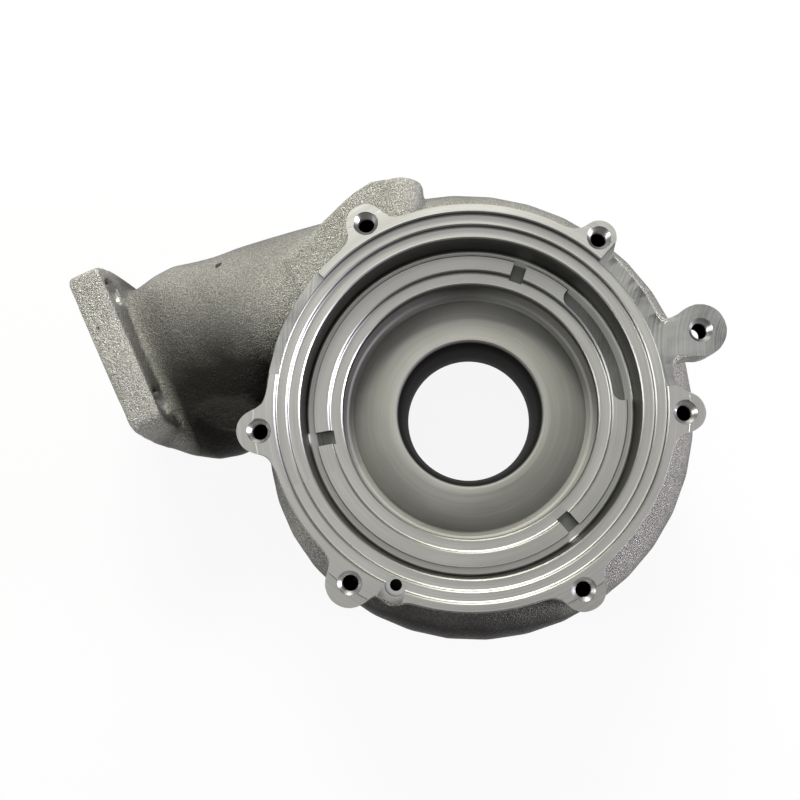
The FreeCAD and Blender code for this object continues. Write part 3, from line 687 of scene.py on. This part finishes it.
class HOUSING_OT_casting(bpy.types.Operator):
    """Builds the housing: melts the casting together and machines it"""

    bl_idname = "housing.casting"
    bl_label = "Housing"

    def execute(self, context):
        sizes = context.scene.housing_sizes
        colours = context.scene.housing_finish
        copy = merged_copy(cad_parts[NODE])
        housing = joined([copy] + blank(sizes), "housing_skin")
        melt(housing, 1.5 * MM, 8, 0.42)
        housing.data.materials.clear()
        for material in (cast_finish(colours), turned_finish(colours), milled_finish(colours),
                         drilled_finish(colours)):
            housing.data.materials.append(material)
        housing.data.polygons.foreach_set("material_index", [CAST] * len(housing.data.polygons))
        cut_with(housing, facing_tools(sizes) + [turning_tool(sizes)], TURNED)
        cut_with(housing, milling_tools(sizes), MILLED)
        cut_with(housing, drilling_tools(sizes), DRILLED)
        shade_by_angle(housing, 32.0)
        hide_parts(NODE)
        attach(housing, "root")
        return {"FINISHED"}


def lamp(name, place, target, size, watts, colour=(1.0, 1.0, 1.0)):
    """A square soft lamp that faces a target."""
    light = bpy.data.lights.new(name, "AREA")
    light.size = size
    light.energy = watts
    light.color = colour
    obj = bpy.data.objects.new(name, light)
    bpy.context.scene.collection.objects.link(obj)
    aim = Vector(target) - Vector(place)
    obj.matrix_world = Matrix.Translation(place) @ aim.to_track_quat("-Z", "Y").to_matrix().to_4x4()


def photo_camera():
    """The camera, at the place and turn fitted to the photograph."""
    camera = bpy.data.cameras.new("camera")
    camera.sensor_fit = "HORIZONTAL"
    camera.sensor_width = 36.0
    camera.lens = FOCAL / PHOTO_WIDTH * camera.sensor_width
    camera.shift_x = (PHOTO_WIDTH / 2 - CENTRE_X) / PHOTO_WIDTH
    camera.shift_y = (CENTRE_Y - PHOTO_WIDTH / 2) / PHOTO_WIDTH
    camera.clip_start = 0.01
    camera.clip_end = 50.0
    obj = bpy.data.objects.new("camera", camera)
    bpy.context.scene.collection.objects.link(obj)
    tilt = Matrix.Rotation(-0.0536275, 4, "X") @ Matrix.Rotation(0.00034663, 4, "Y")
    to_camera = Matrix.Translation((7.85036 * MM, 26.24302 * MM, -310.43122 * MM)) @ tilt
    to_row = Matrix.Translation((0, 0, 0.09)) @ Matrix.Rotation(math.radians(-24.4), 4, "Z")
    obj.matrix_world = to_row @ to_camera.inverted()
    bpy.context.scene.camera = obj


def floor():
    """A plain flat floor, nearly white to the camera and in reflections, that keeps a soft shadow."""
    bm = bmesh.new()
    bmesh.ops.create_grid(bm, x_segments=1, y_segments=1, size=6.0)
    obj = link("floor", bm)
    made = Recipe("floor_white", 0.0, 0.9)
    made.shader.inputs["Base Color"].default_value = (0.86, 0.86, 0.86, 1.0)
    path = made.node("ShaderNodeLightPath")
    seen = made.number("ShaderNodeMath", {"operation": "MAXIMUM"},
                       [path.outputs["Is Camera Ray"], path.outputs["Is Glossy Ray"]])
    seen = seen.math("MAXIMUM", path.outputs["Is Transmission Ray"])
    glow = made.node("ShaderNodeEmission", {}, {"Color": (1.0, 1.0, 1.0, 1.0), "Strength": 1.0})
    mixed = made.node("ShaderNodeMixShader", {}, {
        0: seen * 0.9, 1: made.shader.outputs[0], 2: glow.outputs[0]})
    made.tree.links.new(mixed.outputs[0], made.tree.nodes["Material Output"].inputs["Surface"])
    obj.data.materials.append(made.material)


class HOUSING_OT_stage(bpy.types.Operator):
    """Sets up the floor, the lamps, the world and the camera"""

    bl_idname = "housing.stage"
    bl_label = "Stage"

    def execute(self, context):
        scene = context.scene
        scene.view_settings.view_transform = "Standard"
        world = bpy.data.worlds.new("studio")
        world.use_nodes = True
        world.node_tree.nodes["Background"].inputs["Color"].default_value = (1.0, 1.0, 1.0, 1.0)
        world.node_tree.nodes["Background"].inputs["Strength"].default_value = 0.1
        scene.world = world
        floor()
        lamp("ceiling_lamp", (0.0, 0.42, 1.4), (0, 0.1, 0.08), 1.8, 6.0)
        lamp("top_lamp", (0.35, 1.1, 0.75), (0, 0, 0.08), 0.6, 19.0, (1.0, 1.0, 0.9))
        lamp("left_lamp", (-0.95, 0.4, 0.6), (0, 0, 0.08), 0.4, 4.0)
        lamp("right_lamp", (1.0, -0.55, 0.4), (0, 0, 0.06), 0.35, 13.0, (0.92, 0.88, 1.0))
        photo_camera()
        return {"FINISHED"}


class HOUSING_PT_panel(bpy.types.Panel):
    """Lists the housing's operators and settings"""

    bl_label = "Turbine housing"
    bl_idname = "HOUSING_PT_panel"
    bl_space_type = "VIEW_3D"
    bl_region_type = "UI"
    bl_category = "Housing"

    def draw(self, context):
        for operator in OPERATORS:
            self.layout.operator(operator.bl_idname)
        for group in (context.scene.housing_sizes, context.scene.housing_finish):
            for name in group.__annotations__:
                self.layout.prop(group, name)


OPERATORS = (HOUSING_OT_casting, HOUSING_OT_stage)
CLASSES = (HousingSizes, HousingFinish) + OPERATORS + (HOUSING_PT_panel,)


def register():
    """Registers the classes and the scene's settings."""
    for each in CLASSES:
        bpy.utils.register_class(each)
    bpy.types.Scene.housing_sizes = bpy.props.PointerProperty(type=HousingSizes)
    bpy.types.Scene.housing_finish = bpy.props.PointerProperty(type=HousingFinish)


def unregister():
    """Undoes register."""
    del bpy.types.Scene.housing_finish
    del bpy.types.Scene.housing_sizes
    for each in reversed(CLASSES):
        bpy.utils.unregister_class(each)


def main():
    """Builds everything in order."""
    register()
    bpy.ops.housing.casting()
    bpy.ops.housing.stage()


if __name__ == "__main__":
    main()
